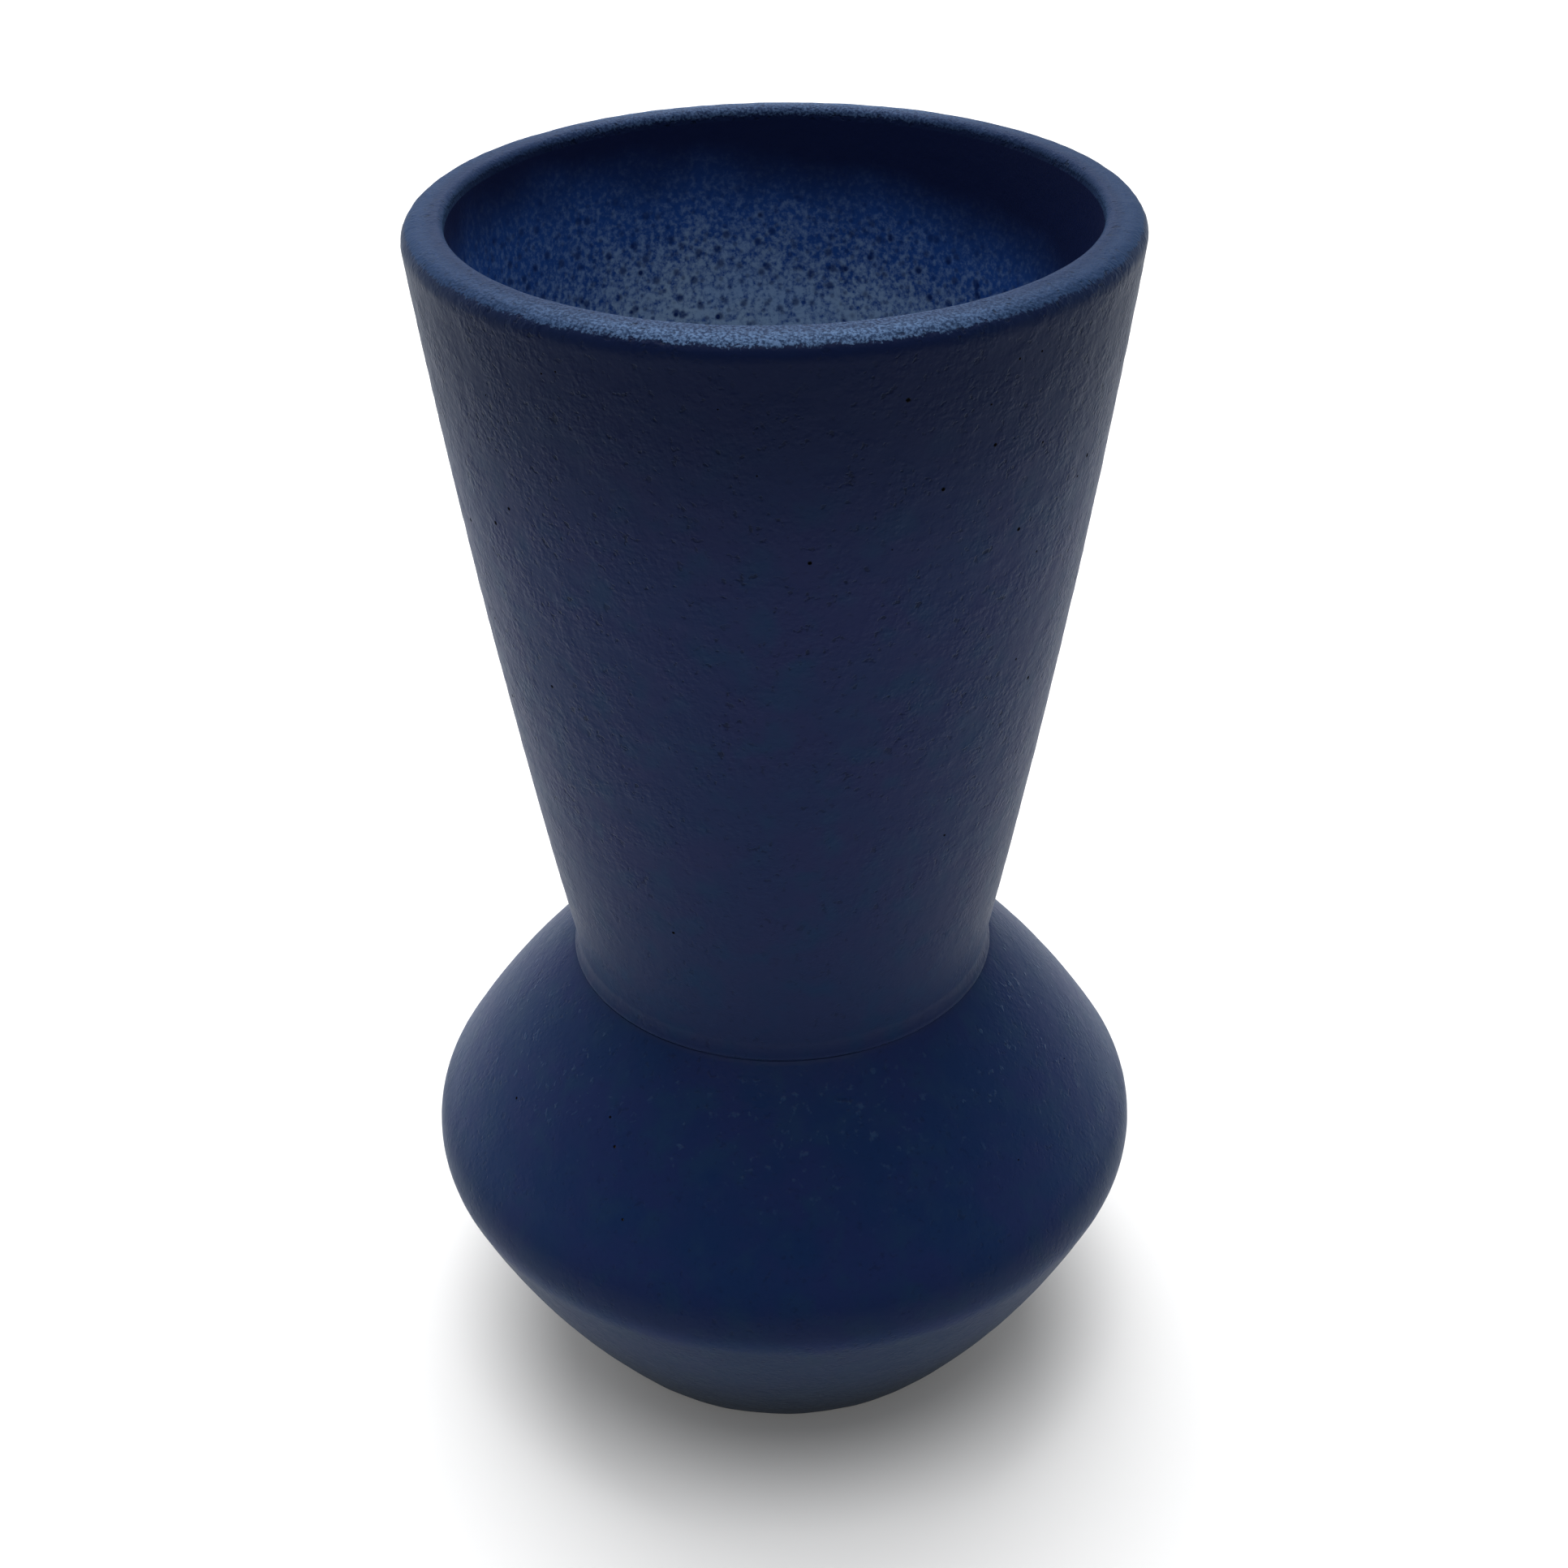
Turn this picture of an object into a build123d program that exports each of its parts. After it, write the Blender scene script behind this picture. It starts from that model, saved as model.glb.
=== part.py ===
from build123d import *
import os
from math import asin, atan2, cos, degrees, hypot, radians, sin, sqrt

# A hand-thrown stoneware vase: a wide funnel neck on a squat, double-cone body.
# It was thrown in two sections, joined with slip, then glazed outside and lined inside.
# Every piece is a ring or a cup about the Z axis. The origin is the middle of the foot.

# Driving dimensions, in millimetres. They give the visible, glazed surface.
height = 271.8               # foot to the top of the lip
rim_radius = 69.7            # outside of the lip
lip_crest_radius = 64.0      # highest part of the lip
lip_fall = 0.7               # how far the lip's top slopes down from there to the outside
lip_round = 3.8              # rounding of the lip's outer edge
lip_inner_round = 1.6        # rounding of the lip's inner edge
seam_height = 102.7          # where the neck stands on the body
neck_foot_radius = 45.1      # outside of the neck at the seam
neck_swell = 1.6             # how far the neck's wall bows out from a straight line
shoulder_end_radius = 47.0   # where the shoulder ends, at the seam
belly_radius = 81.0          # widest point of the body
belly_height = 55.8          # height of that point
belly_round = 13.7           # rounding of the belly, seen from the side
shoulder_curve = 190.0       # radius of the shoulder's long arc
flank_curve = 212.0          # radius of the long arc below the belly
foot_radius = 50.4           # outside of the foot

outer_coat = 0.6             # glaze outside
inner_coat = 0.5             # glaze inside
wall = 7.1                   # fired clay
floor_top = 11.0             # clay floor inside, above the foot
floor_round = 12.0           # rounding between floor and wall
throat_round = 2.0           # rounding of the clay where neck and body meet inside
foot_ring_width = 6.3
foot_recess = 3.5            # how far the floor's underside is cut back
foot_edge_round = 0.8
bare_foot = 1.2              # height of the clay left bare below the glaze
slip_thickness = 0.8         # joining slip between neck and body
bead_radius = 1.2            # slip squeezed out at the seam
bead_glazed_radius = 1.55    # the same bead under its thin glaze
bead_offset = 0.15           # bead's centre, outside the neck's foot
liner_start = 2.5            # how far below the rim the lining begins

# Values worked out from them.
clay_inside = outer_coat + wall
lined_inside = clay_inside + inner_coat
lip_inner_radius = rim_radius - lined_inside
slip_top = seam_height - outer_coat
slip_bottom = slip_top - slip_thickness
bend = (belly_radius - belly_round, belly_height)
bead_centre = (neck_foot_radius + bead_offset, seam_height)
far = 2 * belly_radius


def wall_centre(end, curve, side):
    """Centre of the arc of radius `curve` that starts at `end` and runs smoothly into the belly."""
    span = hypot(end[0] - bend[0], end[1] - bend[1])
    reach = curve - belly_round
    along = (reach**2 - curve**2 + span**2) / (2 * span)
    across = side * sqrt(reach**2 - along**2)
    across_x, across_z = (bend[1] - end[1]) / span, (end[0] - bend[0]) / span
    x = bend[0] + along * (end[0] - bend[0]) / span + across * across_x
    z = bend[1] + along * (end[1] - bend[1]) / span + across * across_z
    return x, z


def bowed_centre(low, high, swell):
    """Centre and radius of the arc from `low` to `high` that bows outwards by `swell`."""
    chord = hypot(high[0] - low[0], high[1] - low[1])
    radius = (chord**2 / 4 + swell**2) / (2 * swell)
    depth = radius - swell
    x = (low[0] + high[0]) / 2 - depth * (high[1] - low[1]) / chord
    z = (low[1] + high[1]) / 2 + depth * (high[0] - low[0]) / chord
    return (x, z), radius


shoulder_centre = wall_centre((shoulder_end_radius, seam_height), shoulder_curve, 1)
flank_centre = wall_centre((foot_radius, 0), flank_curve, -1)
neck_centre, neck_curve = bowed_centre(
    (neck_foot_radius, seam_height), (rim_radius, height - lip_round), neck_swell
)


def angle_at(centre, radius, z):
    """Angle on an arc, on its outer side, at the height z."""
    return degrees(asin((z - centre[1]) / radius))


def angle_to_bend(centre):
    """Angle at which a long arc meets the belly's rounding."""
    return degrees(atan2(bend[1] - centre[1], bend[0] - centre[0]))


def point_on(centre, radius, angle):
    return centre[0] + radius * cos(radians(angle)), centre[1] + radius * sin(radians(angle))


def body_side(inset, low, high):
    """Side of the body from height `low` to `high`, `inset` inside the visible surface.
    Returns its lowest and highest points."""
    flank = flank_curve - inset
    shoulder = shoulder_curve - inset
    start = angle_at(flank_centre, flank, low)
    lower_join = angle_to_bend(flank_centre)
    upper_join = angle_to_bend(shoulder_centre)
    end = angle_at(shoulder_centre, shoulder, high)
    CenterArc(flank_centre, flank, start, lower_join - start)
    CenterArc(bend, belly_round - inset, lower_join, upper_join - lower_join)
    CenterArc(shoulder_centre, shoulder, upper_join, end - upper_join)
    return point_on(flank_centre, flank, start), point_on(shoulder_centre, shoulder, end)


def neck_side(inset, low, high):
    """Side of the neck, like body_side."""
    radius = neck_curve - inset
    start, end = angle_at(neck_centre, radius, low), angle_at(neck_centre, radius, high)
    CenterArc(neck_centre, radius, start, end - start)
    return point_on(neck_centre, radius, start), point_on(neck_centre, radius, end)


def round_corner(sketch, corner, radius):
    """Round the corner of the sketch that is nearest to a point."""
    fillet(sketch.vertices().sort_by_distance((corner[0], corner[1], 0))[0], radius)


def filled_outline(inset):
    """Half section of the vase as if it were solid, `inset` inside the visible surface."""
    step = seam_height - inset
    top = height - inset
    with BuildSketch() as outline:
        with BuildLine():
            foot, ledge = body_side(inset, 0, step)
            neck_foot, rim = neck_side(inset, step, top - lip_fall)
            Line(ledge, neck_foot)
            Polyline(rim, (lip_crest_radius, top), (0, top), (0, 0), foot)
        make_face()
        round_corner(outline, rim, lip_round - inset)
    return outline.sketch


def hollow(inset, floor, corner_round, throat):
    """Half section of the space inside, with walls `inset` inside the visible surface."""
    overlap = 6.0
    with BuildSketch() as space:
        with BuildLine():
            low, high = body_side(inset, floor, seam_height)
            Polyline(high, (0, high[1]), (0, floor), low)
        make_face()
        with BuildLine():
            throat_end, mouth = neck_side(inset, seam_height - overlap, height + overlap)
            Polyline(mouth, (0, mouth[1]), (0, throat_end[1]), throat_end)
        make_face()
        round_corner(space, low, corner_round)
        round_corner(space, (high[0], slip_top), throat)
    return space.sketch


def slab(low, high):
    """Everything between two heights, as a mask for half sections."""
    with BuildSketch() as mask:
        with Locations((0, low)):
            Rectangle(far, high - low, align=(Align.MIN, Align.MIN))
    return mask.sketch


def bead(radius):
    """Section of the bead at the seam."""
    with BuildSketch() as section:
        with Locations(bead_centre):
            Circle(radius)
    return section.sketch


def clay_wall():
    """Half section of all the clay, with its foot ring, before it is cut into pieces."""
    recess_radius = foot_radius - outer_coat - foot_ring_width
    with BuildSketch() as section:
        add(filled_outline(outer_coat))
        add(hollow(clay_inside, floor_top, floor_round, throat_round), mode=Mode.SUBTRACT)
        Rectangle(recess_radius, foot_recess, align=(Align.MIN, Align.MIN), mode=Mode.SUBTRACT)
        round_corner(section, (lip_inner_radius, height), lip_inner_round - outer_coat)
        round_corner(section, (foot_radius, 0), foot_edge_round)
        round_corner(section, (recess_radius, 0), foot_edge_round)
    return section.sketch


def glazed_wall():
    """Half section of the finished vase: clay and glaze together."""
    lined_floor = floor_top + inner_coat
    lined_corner, lined_throat = floor_round - inner_coat, throat_round + inner_coat
    with BuildSketch() as section:
        add(filled_outline(0))
        add(bead(bead_glazed_radius))
        add(hollow(lined_inside, lined_floor, lined_corner, lined_throat), mode=Mode.SUBTRACT)
        round_corner(section, (lip_inner_radius, height), lip_inner_round)
    return section.sketch


def slip_layer():
    """Half section of the flat layer of slip, without its bead."""
    with BuildSketch() as layer:
        add(clay)
        add(slab(slip_bottom, slip_top), mode=Mode.INTERSECT)
    return layer.sketch


def clay_hollow():
    """Half section of the space inside the clay, up to the start of the lining."""
    with BuildSketch() as space:
        add(hollow(clay_inside, floor_top, floor_round, throat_round))
        add(slab(height - liner_start, height + far), mode=Mode.SUBTRACT)
    return space.sketch


clay = clay_wall()
finished = glazed_wall()

# Thrown bulb with a closed floor, standing on a foot ring.
with BuildPart() as body:
    with BuildSketch(Plane.XZ):
        add(clay)
        add(slab(slip_bottom, height + far), mode=Mode.SUBTRACT)
    revolve(axis=Axis.Z)

# Thrown funnel with a thick rounded lip.
with BuildPart() as neck:
    with BuildSketch(Plane.XZ):
        add(clay)
        add(slab(0, slip_top), mode=Mode.SUBTRACT)
    revolve(axis=Axis.Z)

# Slip between the two, squeezed out to a bead around the outside.
with BuildPart() as neck_slip_joint:
    with BuildSketch(Plane.XZ):
        add(bead(bead_radius))
        add(clay, mode=Mode.SUBTRACT)
        add(slip_layer())
    revolve(axis=Axis.Z)

# Matt glaze over the outside and the lip. It stops short of the foot.
with BuildPart() as outer_glaze:
    with BuildSketch(Plane.XZ):
        add(finished)
        add(clay, mode=Mode.SUBTRACT)
        add(bead(bead_radius), mode=Mode.SUBTRACT)
        add(clay_hollow(), mode=Mode.SUBTRACT)
        add(slab(0, bare_foot), mode=Mode.SUBTRACT)
        Rectangle(
            foot_radius - outer_coat - foot_ring_width, floor_top,
            align=(Align.MIN, Align.MIN), mode=Mode.SUBTRACT,
        )
    revolve(axis=Axis.Z)

# Speckled glaze that lines the neck and the bulb.
with BuildPart() as inner_glaze:
    with BuildSketch(Plane.XZ):
        add(clay_hollow())
        add(finished, mode=Mode.INTERSECT)
    revolve(axis=Axis.Z)

body.part.label = "body"
neck.part.label = "neck"
neck_slip_joint.part.label = "neck_slip_joint"
outer_glaze.part.label = "outer_glaze"
inner_glaze.part.label = "inner_glaze"

os.makedirs("parts", exist_ok=True)
export_step(body.part, "parts/body.step")
export_step(neck.part, "parts/neck.step")
export_step(neck_slip_joint.part, "parts/neck_slip_joint.step")
export_step(outer_glaze.part, "parts/outer_glaze.step")
export_step(inner_glaze.part, "parts/inner_glaze.step")
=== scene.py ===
import random
from math import asin, atan2, ceil, cos, hypot, pi, radians, sin, sqrt, tan, tau

import bpy
from mathutils import Matrix, Vector, noise


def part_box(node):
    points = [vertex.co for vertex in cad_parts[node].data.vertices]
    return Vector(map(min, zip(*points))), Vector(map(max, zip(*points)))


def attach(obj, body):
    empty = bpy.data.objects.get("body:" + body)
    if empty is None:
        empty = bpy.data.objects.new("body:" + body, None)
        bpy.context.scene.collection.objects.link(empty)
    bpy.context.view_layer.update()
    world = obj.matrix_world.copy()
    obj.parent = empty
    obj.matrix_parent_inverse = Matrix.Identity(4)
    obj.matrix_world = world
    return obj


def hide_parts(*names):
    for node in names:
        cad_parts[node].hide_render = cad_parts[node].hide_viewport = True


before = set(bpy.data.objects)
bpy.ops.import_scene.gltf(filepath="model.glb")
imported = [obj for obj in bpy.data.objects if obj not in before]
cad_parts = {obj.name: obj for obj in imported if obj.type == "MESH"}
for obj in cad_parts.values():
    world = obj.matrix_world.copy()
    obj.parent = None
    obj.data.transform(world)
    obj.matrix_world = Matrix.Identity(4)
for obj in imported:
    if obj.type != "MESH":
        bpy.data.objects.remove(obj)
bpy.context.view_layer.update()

# A matt blue stoneware vase, thrown in two sections. Each piece is a dense ring or cup about the
# Z axis, with the marks of throwing, trimming and firing on it. Only the layer of slip between the
# sections is the frame's own node.
# Lengths are in millimetres up to the point where a mesh is made, and MM turns them into metres.
MM = 0.001

# The visible surface, taken from the frame where a box can give it.
glaze_low, glaze_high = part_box("outer_glaze")
lining_low, lining_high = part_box("inner_glaze")
height = glaze_high.z / MM
belly_radius = glaze_high.x / MM
bare_foot = glaze_low.z / MM
lining_floor = lining_low.z / MM
lining_top = lining_high.z / MM
slip_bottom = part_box("body")[1].z / MM
slip_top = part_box("neck")[0].z / MM

# The rest of its section.
rim_radius = 69.7            # outside of the lip
lip_crest_radius = 64.0      # highest part of the lip
lip_fall = 0.7               # how far the lip's top slopes down from there to the outside
lip_round = 3.8              # rounding of the lip's outer edge
lip_inner_round = 1.6        # rounding of the lip's inner edge
seam_height = 102.7          # where the neck stands on the body
neck_foot_radius = 45.1      # outside of the neck at the seam
neck_swell = 1.6             # how far the neck's wall bows out from a straight line
shoulder_end_radius = 47.0   # where the shoulder ends, at the seam
belly_height = 55.8          # height of the widest point
belly_round = 13.7           # rounding of the belly, seen from the side
shoulder_curve = 190.0       # radius of the shoulder's long arc
flank_curve = 212.0          # radius of the long arc below the belly
foot_radius = 50.4           # outside of the foot
outer_coat = 0.6             # glaze outside
inner_coat = 0.5             # glaze inside
clay_inside = 7.7            # from the visible surface in to the clay's inner face
floor_round = 12.0           # rounding between floor and wall
throat_round = 2.0           # rounding of the clay where neck and body meet inside
foot_ring_width = 6.3
foot_recess = 3.5            # how far the floor's underside is cut back
recess_round = 1.2           # rounding in the corner of that recess
foot_edge_round = 0.8
bead_radius = 1.2            # slip squeezed out at the seam
bead_offset = 0.15           # bead's centre, outside the neck's foot

# The coats' soft edges.
foot_roll_round = 0.5        # rounding of the glaze's thick lower edge
foot_roll_out = 0.45         # its centre, outside the foot
crease_lift = 0.05           # where the coats of neck and body meet, above the seam
neck_edge_round = 0.55       # rounding of the neck's overhanging lower edge
neck_edge_out = 1.24         # its centre, outside the neck's foot
flare_top = 3.6              # where the neck is back on its own line, above the seam

# Distances between points along a section's line.
edge_step = 0.2
bead_step = 0.6
bend_step = 0.9
foot_step = 1.0
corner_points = 9
small_corner_points = 5

lined_inside = clay_inside + inner_coat
clay_floor = lining_floor - inner_coat
recess_radius = foot_radius - outer_coat - foot_ring_width
crease = seam_height + crease_lift
bend = (belly_radius - belly_round, belly_height)
bead_centre = (neck_foot_radius + bead_offset, seam_height)


# ---------------------------------------------------------------- section of the vase

def wall_centre(end, curve, side):
    """Centre of the arc of radius `curve` that starts at `end` and runs smoothly into the belly."""
    span = hypot(end[0] - bend[0], end[1] - bend[1])
    reach = curve - belly_round
    along = (reach**2 - curve**2 + span**2) / (2 * span)
    across = side * sqrt(reach**2 - along**2)
    x = bend[0] + (along * (end[0] - bend[0]) + across * (bend[1] - end[1])) / span
    z = bend[1] + (along * (end[1] - bend[1]) + across * (end[0] - bend[0])) / span
    return x, z


def bowed_centre(low, high, swell):
    """Centre and radius of the arc from `low` to `high` that bows outwards by `swell`."""
    chord = hypot(high[0] - low[0], high[1] - low[1])
    radius = (chord**2 / 4 + swell**2) / (2 * swell)
    depth = radius - swell
    x = (low[0] + high[0]) / 2 - depth * (high[1] - low[1]) / chord
    z = (low[1] + high[1]) / 2 + depth * (high[0] - low[0]) / chord
    return (x, z), radius


shoulder_centre = wall_centre((shoulder_end_radius, seam_height), shoulder_curve, 1)
flank_centre = wall_centre((foot_radius, 0), flank_curve, -1)
neck_centre, neck_curve = bowed_centre(
    (neck_foot_radius, seam_height), (rim_radius, height - lip_round), neck_swell
)


def arc(centre, radius, start, end, step):
    """Points along an arc, about `step` apart."""
    count = max(2, ceil(abs(end - start) * radius / step))
    angles = [start + (end - start) * n / count for n in range(count + 1)]
    return [(centre[0] + radius * cos(a), centre[1] + radius * sin(a)) for a in angles]


def angle_at(centre, radius, z):
    """Angle on an arc, on its outer side, at the height z."""
    return asin((z - centre[1]) / radius)


def neck_radius(z, inset):
    return neck_centre[0] + sqrt((neck_curve - inset) ** 2 - (z - neck_centre[1]) ** 2)


def shoulder_radius(z, inset):
    return shoulder_centre[0] + sqrt((shoulder_curve - inset) ** 2 - (z - shoulder_centre[1]) ** 2)


def body_side(inset, low, high, step):
    """Points up the side of the body, `inset` inside the visible surface."""
    flank = flank_curve - inset
    shoulder = shoulder_curve - inset
    lower_join = atan2(bend[1] - flank_centre[1], bend[0] - flank_centre[0])
    upper_join = atan2(bend[1] - shoulder_centre[1], bend[0] - shoulder_centre[0])
    points = arc(flank_centre, flank, angle_at(flank_centre, flank, low), lower_join, step)
    points += arc(bend, belly_round - inset, lower_join, upper_join, min(step, bend_step))[1:]
    top = angle_at(shoulder_centre, shoulder, high)
    return points + arc(shoulder_centre, shoulder, upper_join, top, step)[1:]


def neck_side(inset, low, high, step):
    """Points up the side of the neck, like body_side."""
    radius = neck_curve - inset
    start = angle_at(neck_centre, radius, low)
    end = angle_at(neck_centre, radius, high)
    return arc(neck_centre, radius, start, end, step)


def rounded(before, corner, after, radius, count=corner_points):
    """Points round the corner of two straight lines."""
    a = (Vector(before) - Vector(corner)).normalized()
    b = (Vector(after) - Vector(corner)).normalized()
    half = a.angle(b) / 2
    middle = Vector(corner) + (a + b).normalized() * (radius / sin(half))
    first = Vector(corner) + a * (radius / tan(half)) - middle
    last = Vector(corner) + b * (radius / tan(half)) - middle
    sweep = first.angle_signed(last)
    turns = [Matrix.Rotation(-sweep * n / count, 2) for n in range(count + 1)]
    return [tuple(middle + turn @ first) for turn in turns]


def eased(start, control, end, count):
    """Points along a smooth bend from `start` to `end`, drawn towards `control`."""
    shares = [n / count for n in range(count + 1)]
    return [
        tuple((1 - t) ** 2 * a + 2 * t * (1 - t) * c + t * t * b for a, c, b in zip(start, control, end))
        for t in shares
    ]


def spaced(points, step):
    """The same line with points no more than `step` apart."""
    filled = [points[0]]
    for a, b in zip(points, points[1:]):
        parts = max(1, ceil(hypot(b[0] - a[0], b[1] - a[1]) / step))
        filled += [
            (a[0] + (b[0] - a[0]) * n / parts, a[1] + (b[1] - a[1]) * n / parts)
            for n in range(1, parts + 1)
        ]
    return filled


def below(points, z):
    return [p for p in points if p[1] < z]


def above(points, z):
    return [p for p in points if p[1] > z]


def lip(inset, inner_inset, low_outside, low_inside, step):
    """Points up the outside of the neck, over the lip and down its inside."""
    gap = 0.3
    top = height - inset
    side = neck_side(inset, low_outside, top - lip_fall, step)
    crest = (lip_crest_radius, top)
    outer = rounded(side[-2], side[-1], crest, lip_round - inset)
    inside_top = (neck_radius(top, inner_inset), top)
    inside_low = (neck_radius(low_inside, inner_inset), low_inside)
    inner = rounded(crest, inside_top, inside_low, lip_inner_round - inset)
    return below(side, outer[0][1] - gap) + outer + [crest] + inner + [inside_low]


def body_coat_line(step):
    """The visible line from the glaze's thick lower edge to where the coats meet."""
    roll_height = 0.6
    tuck_in, tuck_up = 0.2, 0.1
    roll_centre = (foot_radius + foot_roll_out, bare_foot + foot_roll_round)
    roll = arc(roll_centre, foot_roll_round, radians(-90), radians(-15), edge_step)
    side = body_side(0, bare_foot, crease, step)
    tucked = (side[-1][0] - tuck_in, crease + tuck_up)
    return spaced(roll + above(side, bare_foot + roll_height) + [tucked], step)


def neck_coat_line(step):
    """The visible line from there round the neck's lower edge, up the neck, and over the lip."""
    control_in, control_up = 0.8, 1.7
    edge_centre = (neck_foot_radius + neck_edge_out, crease + neck_edge_round)
    edge = arc(edge_centre, neck_edge_round, radians(-60), radians(12), edge_step)
    control = (edge[-1][0] - control_in, crease + control_up)
    top = seam_height + flare_top
    flare = eased(edge[-1], control, (neck_radius(top, 0), top), small_corner_points)
    return spaced(edge + flare[1:] + lip(0, lined_inside, top, lining_top, step)[1:], step)


def clay_under_body(step):
    below_crease = 0.7
    return body_side(outer_coat, bare_foot, crease - below_crease, step)


def clay_under_neck(step):
    """The clay's line behind the neck's coat, round the bead of slip at the seam."""
    off_bead, above_bead = 0.03, 0.3
    bead = arc(bead_centre, bead_radius + off_bead, 0, radians(75), bead_step)
    neck = lip(outer_coat, clay_inside, seam_height + bead_radius + above_bead, lining_top, step)
    return clay_under_body(step)[-1:] + bead + neck


def throat_corner(inset):
    """Where the bulb's inner wall meets the neck's: a point before, the corner, a point after."""
    search, reach = 0.25, 3
    z = seam_height
    while shoulder_radius(z, inset) < neck_radius(z, inset):
        z -= search
    before = (shoulder_radius(z - reach, inset), z - reach)
    return before, (neck_radius(z, inset), z), (neck_radius(z + reach, inset), z + reach)


def bulb_inside(inset, floor, step):
    """Points from the middle of the floor, out and up to the throat, `inset` inside the surface."""
    corner_gap, throat_gap = 0.4, 0.3
    side = body_side(inset, floor, seam_height, step)
    corner = rounded((0, floor), side[0], side[1], floor_round + clay_inside - inset)
    throat = rounded(*throat_corner(inset), throat_round + inset - clay_inside, small_corner_points)
    wall = below(above(side, corner[-1][1] + corner_gap), throat[0][1] - throat_gap)
    return [(0.0, floor)] + corner + wall + throat


def lining_line(inset, floor, step):
    """Points from the middle of the floor to the top of the lining."""
    gap = 0.5
    bulb = bulb_inside(inset, floor, step)
    return spaced(bulb + neck_side(inset, bulb[-1][1] + gap, lining_top, step), step)


def underside_line(flank):
    """Points under the bulb, from the middle out round the foot ring to the flank's start."""
    middle = (0.0, foot_recess)
    inner_top, inner_edge = (recess_radius, foot_recess), (recess_radius, 0)
    count = small_corner_points
    recess = rounded(middle, inner_top, inner_edge, recess_round, count)
    ring_inner = rounded(inner_top, inner_edge, (foot_radius, 0), foot_edge_round, count)
    ring_outer = rounded(inner_edge, flank[0], flank[1], foot_edge_round, count)
    return spaced([middle] + recess + ring_inner + ring_outer, foot_step)


def bulb_clay_line(step):
    """The thrown bulb's clay: its underside and foot ring, its outside, top edge and inside."""
    ring_gap, top_gap = 0.3, 0.2
    side = body_side(outer_coat, 0, slip_bottom, step)
    under = underside_line(side)
    outside = above(side, under[-1][1] + ring_gap)
    inside = below(bulb_inside(clay_inside, clay_floor, step), slip_bottom - top_gap)
    inside.append((neck_radius(slip_bottom, clay_inside), slip_bottom))
    return under + outside + inside[::-1]


# ---------------------------------------------------------------- marks of the hand and the kiln

SEED = 7


def ramp(value, low, high):
    """0 below low, 1 above high, straight in between."""
    return min(1.0, max(0.0, (value - low) / (high - low)))


def ripple(theta, z, scale, offset):
    """Smooth noise over the surface, from -1 to 1, with features about `scale` across.
    Each `offset` gives a different noise."""
    typical_radius = 58
    spot = Vector((cos(theta), sin(theta), 0)) * (typical_radius / scale)
    spot.z = z / scale
    return noise.noise(spot + Vector((offset, 2 * offset, -offset)))


def settled(theta, r, z):
    """A point of a true ring, moved with the funnel, which is slightly oval and leans back."""
    oval, widest_at = 0.5, radians(22)
    lean_across, lean_back = 0.2, 0.4
    grown = max(0.0, (z - seam_height) / (height - seam_height))
    r += grown * oval * cos(2 * (theta - widest_at))
    return r * cos(theta) + grown * lean_across, r * sin(theta) + grown * lean_back, z


def hand_made(theta, z):
    """How far the thrown surface stands out from a true one."""
    oval, oval_turn = 0.09, 0.7
    three_sided, three_sided_turn = 0.05, 2.1
    fine_ring, fine_spacing, fine_change = 0.006, 2.3, 0.7
    broad_ring, broad_spacing, wander = 0.009, 9.0, 1.2
    spiral_rise, swelling = 4.5, 0.07
    out_of_round = oval * cos(2 * theta + oval_turn)
    out_of_round += three_sided * cos(3 * theta + three_sided_turn)
    rise = z + spiral_rise * theta / tau
    around = (cos(theta) * fine_change, sin(theta) * fine_change, rise / fine_spacing)
    rings = fine_ring * noise.noise(Vector(around))
    rings += broad_ring * sin(tau * rise / broad_spacing + wander * ripple(theta, z, 40, 3))
    trued = ramp(z, 0, 60)
    return out_of_round * trued + rings + swelling * ripple(theta, z, 22, 11)


def orange_peel(theta, z):
    """The melted glaze's fine unevenness, stronger up the neck."""
    body_strength, neck_gain = 0.45, 0.55
    coarse, medium, fine = 0.045, 0.075, 0.04
    strength = body_strength + neck_gain * ramp(z, 100, 200)
    peel = coarse * ripple(theta, z, 5.0, 8)
    return strength * (peel + medium * ripple(theta, z, 2.7, 5) + fine * ripple(theta, z, 1.7, 2))


def coat_relief(theta, r, z):
    """Push along the surface's normal, and lift along Z, of the outside coat."""
    edge_fade, end_fade, waver_height = 6, 5, 5
    slow_waver, quick_waver = 0.30, 0.12
    from_end = hypot(r - neck_radius(lining_top, lined_inside), z - lining_top)
    fade = ramp(z, bare_foot, bare_foot + edge_fade) * ramp(from_end, 0, end_fade)
    waver = slow_waver * ripple(theta, 0, 13, 4) + quick_waver * ripple(theta, 0, 5, 9)
    lift = waver * ramp(z, bare_foot + waver_height, bare_foot)
    return fade * (hand_made(theta, z) + orange_peel(theta, z)), lift


def lining_relief(theta, r, z):
    """The coat's marks in reverse on the lining, and a throwing spiral on its floor."""
    spiral, pitch = 0.22, 9.0
    hand_share, peel_share = 0.5, 0.7
    fade = ramp(z, lining_top, lining_top - 6) * ramp(r, 2, 20)
    swirl = spiral * sin(tau * (r - pitch * theta / tau) / pitch)
    swirl = swirl * ramp(r, 1, 6) * ramp(r, 48, 34) * ramp(z, 20, 14)
    marks = -hand_share * hand_made(theta, z) + peel_share * orange_peel(theta, z)
    return swirl + fade * marks, 0.0


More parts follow.
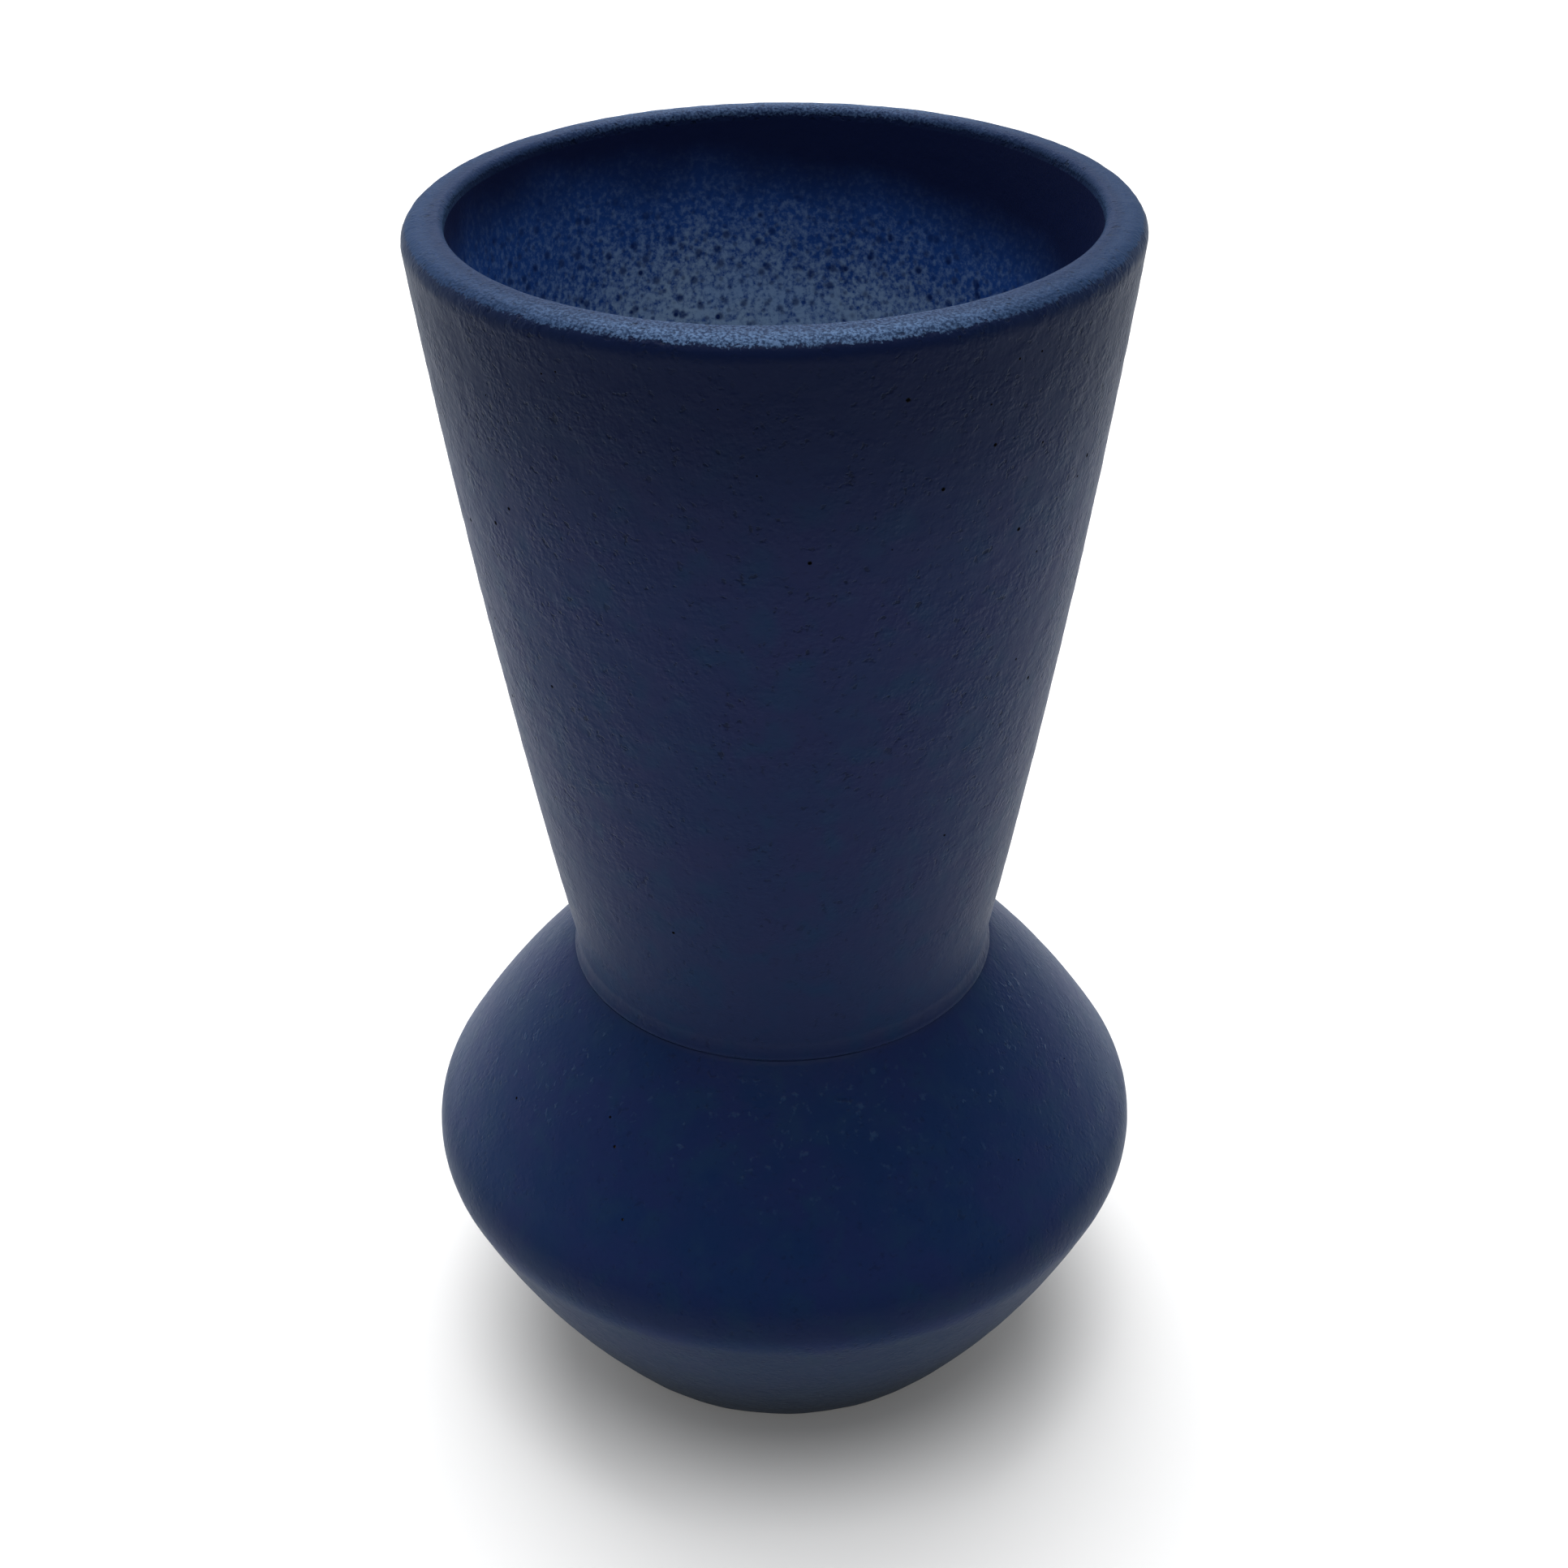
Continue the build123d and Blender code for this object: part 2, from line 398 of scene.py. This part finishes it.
def trimmed_relief(theta, r, z):
    """The turning tool's spiral and grit drags on the underside. The coated clay is left true."""
    spiral, pitch = 0.11, 2.9
    drag_depth, drag_width, drags_round = 0.05, 0.9, 2.5
    ring_wear = 0.025
    on_recess = z <= foot_recess + 0.1 and r <= recess_radius - 1.5
    if not on_recess:
        return ring_wear * ripple(theta, r, 4, 6) * ramp(z, bare_foot, 0.2), 0.0
    groove = spiral * sin(tau * (r - pitch * theta / tau) / pitch) * ramp(r, 1, 5)
    along = (r / drag_width, drags_round * cos(theta), drags_round * sin(theta))
    return groove + drag_depth * noise.noise(Vector(along)) * ramp(r, 0, 4), 0.0


def plain(theta, r, z):
    """No relief: the piece is hidden by the others."""
    return 0.0, 0.0


# ---------------------------------------------------------------- meshes

ON_AXIS = 1e-6              # a point nearer the axis than this is shared by the whole ring
HOLE_SIDES = 8
HOLE_DEPTH = 0.5
HOLE_TAPER = 0.75           # the floor's radius, over the mouth's
HOLE_SHARE = 0.45           # the widest mouth's radius, over the shorter side of its face
HOLE_START = radians(225)   # from the middle of the face to its first corner
SHARP_EDGE = radians(50)

# How fine each piece is: segments round it, then steps along its face and along its back.
BODY_COAT = (420, 1.05, 8)
NECK_COAT = (412, 1.06, 8)
LINER = (300, 1.5, 9)
BULB = (240, 4)
FUNNEL = (160, 5, 6)


def placed(name, data):
    """A new object in the scene."""
    made = bpy.data.objects.new(name, data)
    bpy.context.scene.collection.objects.link(made)
    return made


def normals(line):
    """Unit normals to an open line, on its right-hand side as it is followed."""
    found = []
    for n in range(len(line)):
        a = line[max(0, n - 1)]
        b = line[min(len(line) - 1, n + 1)]
        length = hypot(b[0] - a[0], b[1] - a[1])
        found.append(((b[1] - a[1]) / length, (a[0] - b[0]) / length))
    return found


def pinhole(points, faces, quad, radius):
    """Put a small round hole with walls and a floor in the place of one face."""
    corners = [Vector(points[n]) for n in quad]
    width = (corners[1] - corners[0]).length
    rise = (corners[3] - corners[0]).length
    radius = min(radius, HOLE_SHARE * min(width, rise))
    middle = sum(corners, Vector()) / 4
    along = (corners[1] - corners[0]).normalized()
    out = along.cross(corners[3] - corners[0]).normalized()
    up = out.cross(along)
    first = len(points)
    for shrink, sink in ((1.0, 0.0), (HOLE_TAPER, HOLE_DEPTH)):
        for n in range(HOLE_SIDES):
            turn = HOLE_START + tau * n / HOLE_SIDES
            spoke = along * cos(turn) + up * sin(turn)
            points.append(tuple(middle + spoke * (radius * shrink) - out * sink))
    ring = [first + n for n in range(HOLE_SIDES)]
    floor = [n + HOLE_SIDES for n in ring]
    for k in range(4):
        a, b, c = ring[2 * k], ring[2 * k + 1], ring[(2 * k + 2) % HOLE_SIDES]
        low, high = quad[k], quad[(k + 1) % 4]
        faces += [(low, high, b), (low, b, a), (high, c, b)]
    for n in range(HOLE_SIDES):
        following = (n + 1) % HOLE_SIDES
        faces.append((ring[n], ring[following], floor[following], floor[n]))
    faces.append(tuple(floor))


def ring_points(face, back, segments, relief, facing):
    """The points of a turned piece, and the row of their numbers for each point of its line."""
    across = [(facing * x, facing * z) for x, z in normals(face)] + [(0, 0)] * len(back)
    rows, points = [], []
    for n, (r, z) in enumerate(face + back):
        if r < ON_AXIS:
            rows.append([len(points)] * segments)
            points.append((0, 0, z))
            continue
        rows.append(range(len(points), len(points) + segments))
        for j in range(segments):
            theta = tau * j / segments
            push, lift = relief(theta, r, z) if n < len(face) else (0, 0)
            points.append(settled(theta, r + push * across[n][0], z + push * across[n][1] + lift))
    return rows, points


def hole_places(holes, face, segments):
    """The radius of each pinhole, by the row and the segment of the face that it stands in."""
    places = {}
    for theta, z, radius in holes:
        row = next(n for n in range(len(face)) if face[n + 1][1] > z)
        places[row, round(segments * theta / tau) % segments] = radius
    return places


def lathe(name, face, back, segments, relief, facing=1, holes=()):
    """A closed ring or cup: the line `face` with its relief, and the line `back` behind it.
    facing is 1 where the right-hand side of `face` is the open side, and -1 where the left is.
    The insides of the pinholes get the piece's second material."""
    rows, points = ring_points(face, back, segments, relief, facing)
    places = hole_places(holes, face, segments)
    pairs = list(zip(range(len(rows)), range(1, len(rows))))
    if face[0][0] > ON_AXIS:
        pairs.append((len(rows) - 1, 0))
    faces, dark = [], []
    for a, b in pairs:
        for j in range(segments):
            k = (j + 1) % segments
            quad = list(dict.fromkeys((rows[a][j], rows[a][k], rows[b][k], rows[b][j])))
            if (a, j) in places:
                pinhole(points, faces, quad, places[a, j])
                dark += range(len(faces) - HOLE_SIDES - 1, len(faces))
            else:
                faces.append(quad if facing > 0 else quad[::-1])
    mesh = bpy.data.meshes.new(name)
    mesh.from_pydata([Vector(p) * MM for p in points], [], faces)
    for n in dark:
        mesh.polygons[n].material_index = 1
    mesh.shade_smooth()
    mesh.set_sharp_from_angle(angle=SHARP_EDGE)
    return placed(name, mesh)


# Pinholes that stand out, as degrees round from +X and millimetres up, and then smaller ones.
neck_pinholes = [
    (-156, 219), (-144, 225), (-139, 230), (-159, 178), (-137, 191), (-30, 234), (-36, 188),
    (-65, 240), (-72, 259), (-56, 246), (-48, 227), (-18, 201), (-86, 229), (-116, 136),
]
body_pinholes = [(-153, 81), (-129, 89), (-125, 85), (-119, 74)]
neck_pinhole_radius = 0.42
body_pinhole_radius = 0.36


def scattered(named, size, count, low, high, rng):
    """The named pinholes, and `count` smaller ones at random between two heights."""
    named_share, small_share = (0.85, 1.1), (0.35, 0.7)
    crowding = 0.6              # below 1, so there are more of them higher up
    holes = [(radians(turn) % tau, z, size * rng.uniform(*named_share)) for turn, z in named]
    for n in range(count):
        z = low + (high - low) * rng.random() ** crowding
        holes.append((tau * rng.random(), z, size * rng.uniform(*small_share)))
    return holes


# ---------------------------------------------------------------- material nodes

def plug(tree, socket, value):
    """Give a socket a value, or the output of another node."""
    if isinstance(value, bpy.types.NodeSocket):
        tree.links.new(value, socket)
    else:
        socket.default_value = value


def add(tree, kind, settings=None, **inputs):
    """A new node. An underscore in an input's name stands for a space."""
    made = tree.nodes.new("ShaderNode" + kind)
    for name, value in (settings or {}).items():
        setattr(made, name, value)
    for name, value in inputs.items():
        plug(tree, made.inputs[name.replace("_", " ")], value)
    return made


def calc(tree, operation, *values):
    made = tree.nodes.new("ShaderNodeMath")
    made.operation = operation
    for socket, value in zip(made.inputs, values):
        plug(tree, socket, value)
    return made.outputs[0]


def product(tree, first, *others):
    for other in others:
        first = calc(tree, "MULTIPLY", first, other)
    return first


def total(tree, *terms):
    """The sum of (value, factor) pairs."""
    found = 0.0
    for value, factor in terms:
        found = calc(tree, "MULTIPLY_ADD", value, factor, found)
    return found


def mixed(tree, share, a, b):
    """Colour a, turning into colour b as the share goes from 0 to 1."""
    made = tree.nodes.new("ShaderNodeMix")
    made.data_type = "RGBA"
    plug(tree, made.inputs[0], share)
    plug(tree, made.inputs[6], a if isinstance(a, bpy.types.NodeSocket) else (*a, 1))
    plug(tree, made.inputs[7], b if isinstance(b, bpy.types.NodeSocket) else (*b, 1))
    return made.outputs[2]


def between(tree, value, low, high, least=0.0, most=1.0):
    """`least` below low, `most` above high, smooth in between. It falls if high is below low."""
    made = add(
        tree, "MapRange", {"interpolation_type": "SMOOTHSTEP"},
        Value=value, From_Min=low, From_Max=high, To_Min=least, To_Max=most,
    )
    return made.outputs[0]


def grain(tree, where, size, detail=2.0, roughness=0.5):
    """Noise from 0 to 1, with features about `size` millimetres across."""
    made = add(
        tree, "TexNoise", Vector=where, Scale=1 / (size * MM), Detail=detail, Roughness=roughness
    )
    return made.outputs["Fac"]


def dots(tree, where, spacing, size):
    """1 in the middle of scattered round dots, 0 outside them."""
    solid_part = 0.35
    made = add(tree, "TexVoronoi", Vector=where, Scale=1 / (spacing * MM), Randomness=1.0)
    return between(tree, made.outputs["Distance"], size / spacing, solid_part * size / spacing)


def start(name):
    """A new material, its node tree, its shader, and the place on the piece as a vector."""
    material = bpy.data.materials.new(name)
    material.use_nodes = True
    tree = material.node_tree
    where = add(tree, "TexCoord").outputs["Object"]
    return material, tree, tree.nodes["Principled BSDF"], where


def in_millimetres(tree, where):
    """The place on the piece as three numbers, towards +X, towards +Y and up."""
    place = add(tree, "SeparateXYZ", Vector=where)
    return [product(tree, place.outputs[axis], 1 / MM) for axis in "XYZ"]


def raise_surface(tree, shader, height_mm):
    """Bump the surface by a height in millimetres."""
    made = add(tree, "Bump", Height=product(tree, height_mm, MM), Distance=1.0, Strength=1.0)
    tree.links.new(made.outputs[0], shader.inputs["Normal"])


# ---------------------------------------------------------------- the outside's glaze

NECK_BLUE = (0.0078, 0.0150, 0.058)
NECK_PLUM = (0.0102, 0.0142, 0.058)
NECK_FOOT_BLUE = (0.0105, 0.0185, 0.058)
BODY_BLUE = (0.0042, 0.0150, 0.060)
BODY_PLUM = (0.0070, 0.0142, 0.062)
GREENER_BLUE = (0.0060, 0.0190, 0.060)
BELLY_EDGE_PAINTED_SHADE = (0.0020, 0.0050, 0.022)
FLANK_PAINTED_REFLECTION = (0.0165, 0.0235, 0.038)
FOOT_PAINTED_SHADE = (0.002, 0.002, 0.006)
UNDER_LIP_PAINTED_SHADE = (0.0018, 0.0045, 0.026)
BUMP_PAINTED_HIGHLIGHT = (0.018, 0.042, 0.095)
PIT_PAINTED_SHADE = (0.0015, 0.0030, 0.012)
BAND_BLUE = (0.0050, 0.0095, 0.041)
LIP_PALE_AND_HIGHLIGHT = (0.066, 0.120, 0.230)
LIP_SIDE_SHADE = (0.0125, 0.030, 0.084)
LIP_RIGHT_SHADE = (0.0060, 0.017, 0.050)
LIP_GRAIN = (0.0075, 0.021, 0.060)
SHEEN_BLUE = (0.25, 0.55, 1.0, 1)

# Heights between which the glaze's tone, or its painted light and shade, changes, from none of the
# change to all of it.
NECK_FOOT_TONE = (158, 108)
SEAM_TONE = (seam_height - 1, seam_height + 1)
BELLY_SHADE_ABOVE = (68, 59)
BELLY_SHADE_BELOW = (53, 57)
FLANK_REFLECTION_LINE = (58, 54)
FOOT_SHADE_HEIGHTS = (47, 8)
UNDER_LIP_SHADE_HEIGHTS = (213, height - 8)
BUMPS_ABOVE = (66, 94)
BUMPS_BELOW = (102, 99)
PITS_ABOVE = (96, 210)
RIM_TONE = (height - 0.35, height + 0.15)
BAND_TOP = (262, 264)

# And distances from the axis.
BAND_EDGE = (64.5, 63.2)
LIP_OUTER = (63.6, 66.2)


def thrown_blue(tree, where, up):
    """The outside's own colour: cloudy, and redder up the neck."""
    cloud = between(tree, grain(tree, where, 16, 3), 0.38, 0.62)
    drift = between(tree, grain(tree, where, 7, 2), 0.45, 0.75)
    neck_foot = between(tree, up, *NECK_FOOT_TONE, most=0.6)
    on_neck = mixed(tree, neck_foot, mixed(tree, cloud, NECK_BLUE, NECK_PLUM), NECK_FOOT_BLUE)
    on_body = mixed(tree, cloud, BODY_BLUE, BODY_PLUM)
    base = mixed(tree, between(tree, up, *SEAM_TONE), on_body, on_neck)
    return mixed(tree, drift, base, GREENER_BLUE)


def flank_painted_light(tree, where, up, base):
    """Painted shade round the belly's edge, a greyer painted reflection of the floor below a grainy
    line, and painted shade towards the foot.
    """
    # Painted shade: a darker band round the belly's edge.
    belly_shade = between(tree, up, *BELLY_SHADE_ABOVE)
    belly_shade = product(tree, belly_shade, between(tree, up, *BELLY_SHADE_BELOW, most=0.32))
    base = mixed(tree, belly_shade, base, BELLY_EDGE_PAINTED_SHADE)
    # Painted reflection: below a grainy line the flank turns greyer, as if it mirrored the pale floor.
    fine, broad = grain(tree, where, 0.9, 2), grain(tree, where, 8, 2)
    ragged = total(tree, (fine, 6.5), (broad, 4.0), (up, 1.0))
    base = mixed(tree, between(tree, ragged, *FLANK_REFLECTION_LINE, most=0.40), base, FLANK_PAINTED_REFLECTION)
    # Painted shade: the glaze darkens towards the foot, where the floor shades it.
    return mixed(tree, between(tree, up, *FOOT_SHADE_HEIGHTS, most=0.95), base, FOOT_PAINTED_SHADE)


def highlit_bumps(tree, where, across, along, up):
    """Small bumps in patches below the seam, with one more patch at the front. Their paler colour is a
    painted highlight.
    """
    patches = between(tree, grain(tree, where, 10, 2), 0.44, 0.58)
    front_middle = 6.0
    aside = calc(tree, "ABSOLUTE", calc(tree, "SUBTRACT", across, front_middle))
    front = product(tree, between(tree, along, -36, -52), between(tree, aside, 36, 10))
    patches = calc(tree, "MAXIMUM", patches, front)
    patches = product(tree, patches, between(tree, up, *BUMPS_ABOVE), between(tree, up, *BUMPS_BELOW))
    return product(tree, between(tree, grain(tree, where, 1.9, 2), 0.60, 0.74), patches)


def lip_rim(tree, where, up, sand):
    """1 on top of the lip, 0 below its ragged lower edge."""
    ragged = total(tree, (sand, 1.6), (grain(tree, where, 3.0, 2), 1.2), (up, 1.0))
    return between(tree, ragged, *RIM_TONE)


def lip_colour_and_light(tree, across, sand):
    """A sandy blue with painted light: palest at the front and back, partly a painted highlight, and
    darker on the sides and towards +X, which is painted shade.
    """
    sides = between(tree, calc(tree, "ABSOLUTE", across), 12, 60)
    light = mixed(tree, sides, LIP_PALE_AND_HIGHLIGHT, LIP_SIDE_SHADE)
    light = mixed(tree, between(tree, across, 20, 66, most=0.4), light, LIP_RIGHT_SHADE)
    return mixed(tree, between(tree, sand, 0.36, 0.66), LIP_GRAIN, light)


def boiled_patches(tree, where, up):
    """How much the glaze boiled: in patches, and mostly up the neck."""
    patches = between(tree, grain(tree, where, 9, 2), 0.40, 0.60, least=0.35)
    return product(tree, between(tree, up, *PITS_ABOVE, least=0.42), patches)


def matt_blue():
    material, tree, shader, where = start("matt_blue_glaze")
    across, along, up = in_millimetres(tree, where)
    out = calc(tree, "SQRT", total(tree, (product(tree, across, across), 1.0),
                                   (product(tree, along, along), 1.0)))
    base = flank_painted_light(tree, where, up, thrown_blue(tree, where, up))
    # Painted shade: the neck darkens just under the lip, where little light reaches it.
    base = mixed(tree, between(tree, up, *UNDER_LIP_SHADE_HEIGHTS, most=0.92), base, UNDER_LIP_PAINTED_SHADE)
    bumps = highlit_bumps(tree, where, across, along, up)
    # Painted highlight: the bumps are also made paler in colour.
    base = mixed(tree, product(tree, bumps, 0.6), base, BUMP_PAINTED_HIGHLIGHT)
    # The lip breaks to a paler, sandy blue on top, with a painted highlight and painted shade round it,
    # and to the lining's dark band inside.
    band = product(tree, between(tree, out, *BAND_EDGE), between(tree, up, *BAND_TOP))
    base = mixed(tree, band, base, BAND_BLUE)
    sand = grain(tree, where, 0.55, 2, 0.6)
    rim = lip_rim(tree, where, up, sand)
    outer = between(tree, out, *LIP_OUTER, least=0.55)
    base = mixed(tree, product(tree, rim, outer), base, lip_colour_and_light(tree, across, sand))
    boiled = boiled_patches(tree, where, up)
    # The pits are dents in the relief, and their darker colour is painted shade.
    pits = product(tree, between(tree, grain(tree, where, 1.5, 2, 0.5), 0.40, 0.28), boiled)
    base = mixed(tree, product(tree, pits, 0.65), base, PIT_PAINTED_SHADE)
    tree.links.new(base, shader.inputs["Base Color"])
    dull = total(tree, (grain(tree, where, 1.3, 2), 0.16), (rim, 0.12))
    tree.links.new(calc(tree, "ADD", dull, 0.36), shader.inputs["Roughness"])
    shader.inputs["Specular IOR Level"].default_value = 0.05
    shader.inputs["Sheen Weight"].default_value = 0.07
    shader.inputs["Sheen Roughness"].default_value = 0.6
    shader.inputs["Sheen Tint"].default_value = SHEEN_BLUE
    peel = total(tree, (grain(tree, where, 1.1, 1.5), 0.30), (grain(tree, where, 0.5, 2), 0.045))
    peel = product(tree, peel, boiled)
    sandy = product(tree, sand, rim)
    raise_surface(tree, shader, total(tree, (peel, 1.0), (pits, -0.13), (bumps, 0.12), (sandy, 0.10)))
    return material


# ---------------------------------------------------------------- the lining's glaze

LINING_BLUE = (0.0105, 0.048, 0.200)
LINING_SPOT = (0.0045, 0.018, 0.088)
SPECK_BLUE = (0.19, 0.32, 0.53)
SPECK_GREY = (0.33, 0.45, 0.52)

# Distances below the dark band's wandering lower edge.
LINING_OPENS = (-4.0, 14.0)
SPECKS_GATHER = (2.0, 36.0)


def below_the_band(tree, where, across, up):
    """Distance below the plain dark band under the lip, where the outside glaze runs over the rim. The
    band reaches deeper towards +X, which is painted shade on that side.
    """
    # Painted shade: the band's lower edge sinks deeper towards +X.
    share = calc(tree, "DIVIDE", across, rim_radius)
    slope = calc(tree, "MULTIPLY_ADD", share, 3.0, 8.0)
    depth = calc(tree, "MULTIPLY_ADD", share, slope, 11.0)
    wander = calc(tree, "MULTIPLY_ADD", grain(tree, where, 18, 2), 10.0, -5.0)
    return calc(tree, "ADD", total(tree, (up, -1.0), (depth, -1.0), (wander, -1.0)), height)


def speckled_blue():
    material, tree, shader, where = start("speckled_lining")
    across, _, up = in_millimetres(tree, where)
    depth = below_the_band(tree, where, across, up)
    opened = between(tree, depth, *LINING_OPENS)
    sides = between(tree, calc(tree, "ABSOLUTE", across), 62, 18, least=0.35, most=1.15)
    dense = product(tree, between(tree, depth, *SPECKS_GATHER), sides)
    speck = grain(tree, where, 1.25, 4, 0.65)
    cut = calc(tree, "MULTIPLY_ADD", dense, -0.16, 0.60)
    over = between(tree, calc(tree, "SUBTRACT", speck, cut), -0.17, 0.17)
    over = product(tree, over, calc(tree, "MULTIPLY_ADD", dense, 0.50, 0.20), opened)
    pale = mixed(tree, grain(tree, where, 12, 2), SPECK_BLUE, SPECK_GREY)
    colour = mixed(tree, over, mixed(tree, opened, BAND_BLUE, LINING_BLUE), pale)
    spots = total(tree, (dots(tree, where, 3.4, 1.25), 0.75), (dots(tree, where, 2.0, 0.75), 0.5))
    colour = mixed(tree, product(tree, spots, opened), colour, LINING_SPOT)
    tree.links.new(colour, shader.inputs["Base Color"])
    tree.links.new(calc(tree, "MULTIPLY_ADD", speck, 0.25, 0.32), shader.inputs["Roughness"])
    shader.inputs["Specular IOR Level"].default_value = 0.07
    raise_surface(tree, shader, total(tree, (speck, 0.05), (grain(tree, where, 3, 2), 0.06)))
    return material


# ---------------------------------------------------------------- clay and slip

CLAY = ((0.16, 0.125, 0.095), (0.075, 0.058, 0.045))
SLIP = ((0.13, 0.10, 0.08), (0.07, 0.055, 0.045))
PINHOLE_SHADE = ((0.006, 0.006, 0.010), (0.002, 0.002, 0.004))
GROG_GAIN = 1.7
IRON_GAIN = 0.25


def bare_clay(name, light, dark):
    """Sandy clay between two tones, with pale grog and dark specks of iron."""
    material, tree, shader, where = start(name)
    tone = mixed(tree, grain(tree, where, 3.0, 4, 0.6), dark, light)
    grog = product(tree, dots(tree, where, 1.7, 0.5), 0.6)
    tone = mixed(tree, grog, tone, tuple(GROG_GAIN * c for c in light))
    iron = dots(tree, where, 2.9, 0.4)
    tone = mixed(tree, iron, tone, tuple(IRON_GAIN * c for c in dark))
    tree.links.new(tone, shader.inputs["Base Color"])
    rough = calc(tree, "MULTIPLY_ADD", grain(tree, where, 0.8, 2), 0.2, 0.72)
    tree.links.new(rough, shader.inputs["Roughness"])
    shader.inputs["Specular IOR Level"].default_value = 0.25
    raise_surface(tree, shader, total(tree, (grain(tree, where, 0.5, 4, 0.7), 0.12), (grog, 0.05)))
    return material


# ---------------------------------------------------------------- the pieces

def finish_piece(piece, node, slot, *materials):
    for material in materials:
        piece.data.materials.append(material)
    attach(piece, "root")
    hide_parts(node)


def make_coats(rng):
    """The outside's glaze, in two pieces that meet at the crease."""
    glaze = matt_blue()
    # The pinholes' insides are a nearly black clay: exposed clay darkened with painted shade.
    hole_shade = bare_clay("pinhole_shade", *PINHOLE_SHADE)
    holes = scattered(body_pinholes, body_pinhole_radius, count=16, low=30, high=98, rng=rng)
    segments, step, back_step = BODY_COAT
    face, back = body_coat_line(step), clay_under_body(back_step)[::-1]
    on_body = lathe("glaze_on_body", face, back, segments, coat_relief, holes=holes)
    finish_piece(on_body, "outer_glaze", "matt_blue_glaze", glaze, hole_shade)
    holes = scattered(neck_pinholes, neck_pinhole_radius, count=60, low=115, high=height - 8, rng=rng)
    segments, step, back_step = NECK_COAT
    face, back = neck_coat_line(step), clay_under_neck(back_step)[::-1]
    on_neck = lathe("glaze_on_neck", face, back, segments, coat_relief, holes=holes)
    finish_piece(on_neck, "outer_glaze", "matt_blue_glaze", glaze, hole_shade)


def make_liner():
    segments, step, back_step = LINER
    face = lining_line(lined_inside, lining_floor, step)
    back = lining_line(clay_inside, clay_floor, back_step)[::-1]
    liner = lathe("speckled_liner", face, back, segments, lining_relief, facing=-1)
    finish_piece(liner, "inner_glaze", "speckled_lining", speckled_blue())


def make_clay():
    """The two thrown sections. Only the bulb's foot can be seen."""
    clay = bare_clay("fired_clay", *CLAY)
    segments, step = BULB
    bulb = lathe("thrown_bulb", bulb_clay_line(step), [], segments, trimmed_relief)
    finish_piece(bulb, "body", "fired_clay", clay)
    segments, step, inside_step = FUNNEL
    outside = clay_under_neck(step)[1:]
    inside = neck_side(clay_inside, slip_top, lining_top, inside_step)[::-1]
    funnel = lathe("thrown_funnel", outside + inside, [], segments, plain)
    finish_piece(funnel, "neck", "fired_clay", clay)


def colour_slip():
    """The layer of slip is the frame's own node, with a new material."""
    slip = bare_clay("joining_slip", *SLIP)
    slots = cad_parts["neck_slip_joint"].data.materials
    for n in range(len(slots)):
        slots[n] = slip


# ---------------------------------------------------------------- camera, floor and light

focal_length = 52.84
camera_place = Vector((0, -0.4235, 0.4122))
look_down = radians(32.52)
look_right = radians(0.10)
camera_tilt = radians(-0.64)
floor_radius = 1.6
floor_corners = 96
floor_drop = 0.05 * MM
lights_aim = Vector((0, 0, 0.2))


def make_camera():
    data = bpy.data.cameras.new("camera")
    data.lens = focal_length
    camera = placed("camera", data)
    turn = Matrix.Rotation(-look_right, 4, "Z") @ Matrix.Rotation(pi / 2 - look_down, 4, "X")
    camera.matrix_world = Matrix.Translation(camera_place) @ turn @ Matrix.Rotation(camera_tilt, 4, "Z")
    bpy.context.scene.camera = camera


def pale_floor():
    material, tree, shader, where = start("floor")
    tone = mixed(tree, grain(tree, where, 300, 2), (0.80, 0.80, 0.80), (0.83, 0.83, 0.83))
    tree.links.new(tone, shader.inputs["Base Color"])
    shader.inputs["Emission Color"].default_value = (1, 1, 1, 1)
    shader.inputs["Emission Strength"].default_value = 0.08
    shader.inputs["Roughness"].default_value = 0.9
    shader.inputs["Specular IOR Level"].default_value = 0.1
    return material


def make_floor():
    """A round floor, just under the foot."""
    mesh = bpy.data.meshes.new("floor")
    turns = [tau * n / floor_corners for n in range(floor_corners)]
    rim = [(floor_radius * cos(a), floor_radius * sin(a), -floor_drop) for a in turns]
    mesh.from_pydata(rim, [], [range(floor_corners)])
    mesh.materials.append(pale_floor())
    placed("floor", mesh)


def soft_light(name, place, size, power):
    """A round lamp of `power` watts, `size` metres across, turned to the vase."""
    data = bpy.data.lights.new(name, "AREA")
    data.shape = "DISK"
    data.size = size
    data.energy = power
    light = placed(name, data)
    light.location = place
    light.rotation_mode = "QUATERNION"
    light.rotation_quaternion = (lights_aim - Vector(place)).to_track_quat("-Z", "Y")


def make_world():
    """A white room that lights the vase from behind. Its front is dim, though it looks white."""
    behind_white, behind_right = (0.92, 0.92, 0.92), (0.44, 0.44, 0.44)
    front_dim, seen_white = (0.12, 0.125, 0.13), (0.95, 0.95, 0.95)
    world = bpy.data.worlds.new("room")
    world.use_nodes = True
    tree = world.node_tree
    along = add(tree, "SeparateXYZ", Vector=add(tree, "TexCoord").outputs["Generated"])
    right = between(tree, along.outputs["X"], 0.2, 0.9)
    behind = between(tree, along.outputs["Y"], -0.6, 0.45)
    tone = mixed(tree, behind, front_dim, mixed(tree, right, behind_white, behind_right))
    seen = add(tree, "LightPath").outputs["Is Camera Ray"]
    tone = mixed(tree, seen, tone, seen_white)
    plug(tree, tree.nodes["Background"].inputs["Color"], tone)
    bpy.context.scene.world = world


make_coats(random.Random(SEED))
make_liner()
make_clay()
colour_slip()

bpy.context.scene.view_settings.view_transform = "Standard"
make_camera()
make_floor()
make_world()
soft_light("key", (-0.12, 1.0, 1.75), 2.0, 32)
soft_light("top", (0, -0.25, 2.0), 1.6, 25)
